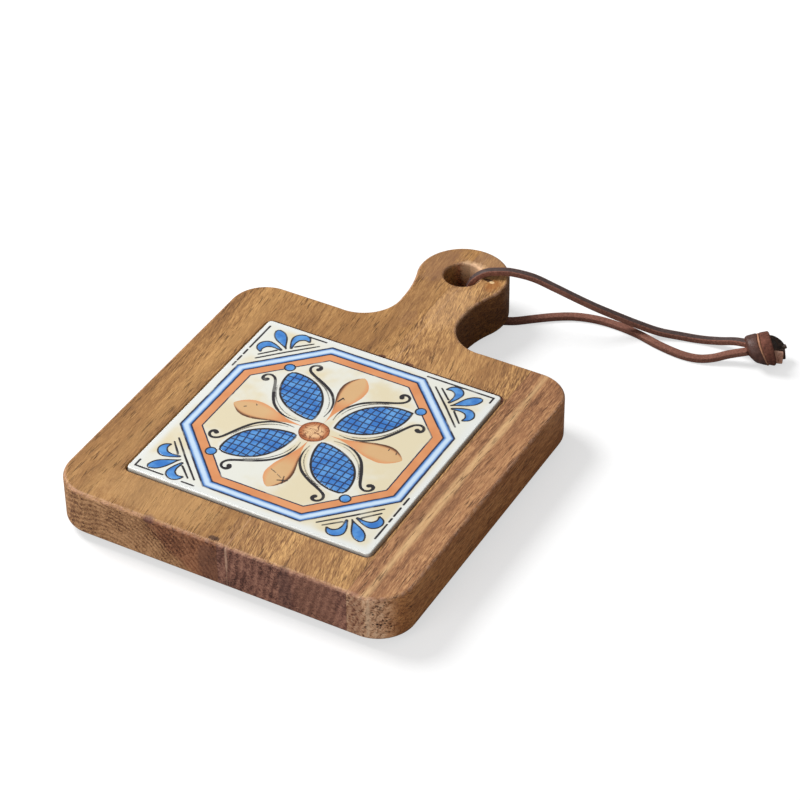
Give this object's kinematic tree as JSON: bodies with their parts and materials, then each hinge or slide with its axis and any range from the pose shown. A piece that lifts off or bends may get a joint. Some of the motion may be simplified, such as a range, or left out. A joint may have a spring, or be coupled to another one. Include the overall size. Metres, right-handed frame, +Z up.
{
  "type": "trivet",
  "caption": "Wooden trivet board with a rounded handle, an inlaid square ceramic tile, a hanging hole and a knotted leather lace loop.",
  "frame": {"origin": "on the surface that the trivet stands on, below the middle of the board's box, the lace left out", "axes": "+Z up out of the tile's face, +Y along the board from the front edge to the handle's end, +X to the right seen from above"},
  "size_m": [0.1936, 0.2202, 0.0256],
  "materials": {
    "wood_left": "oiled, satin",
    "wood_centre": "oiled, satin",
    "wood_right": "oiled, satin",
    "glazed_tile": "glossy glaze with a painted pattern",
    "adhesive": "matte",
    "foot_rubber": "matte",
    "lace_leather": "smooth grain side, suede edges and back",
    "knot_leather": "smooth grain side, suede edges and back"
  },
  "bodies": {
    "trivet": {"left_stave": "wood_left", "centre_stave": "wood_centre", "right_stave": "wood_right", "tile": "glazed_tile", "tile_adhesive": "adhesive", "foot_front_left": "foot_rubber", "foot_front_right": "foot_rubber", "foot_back_left": "foot_rubber", "foot_back_right": "foot_rubber", "lace_upper_run": "lace_leather", "lace_lower_run": "lace_leather", "lace_knot": "knot_leather"}
  },
  "joints": []
}
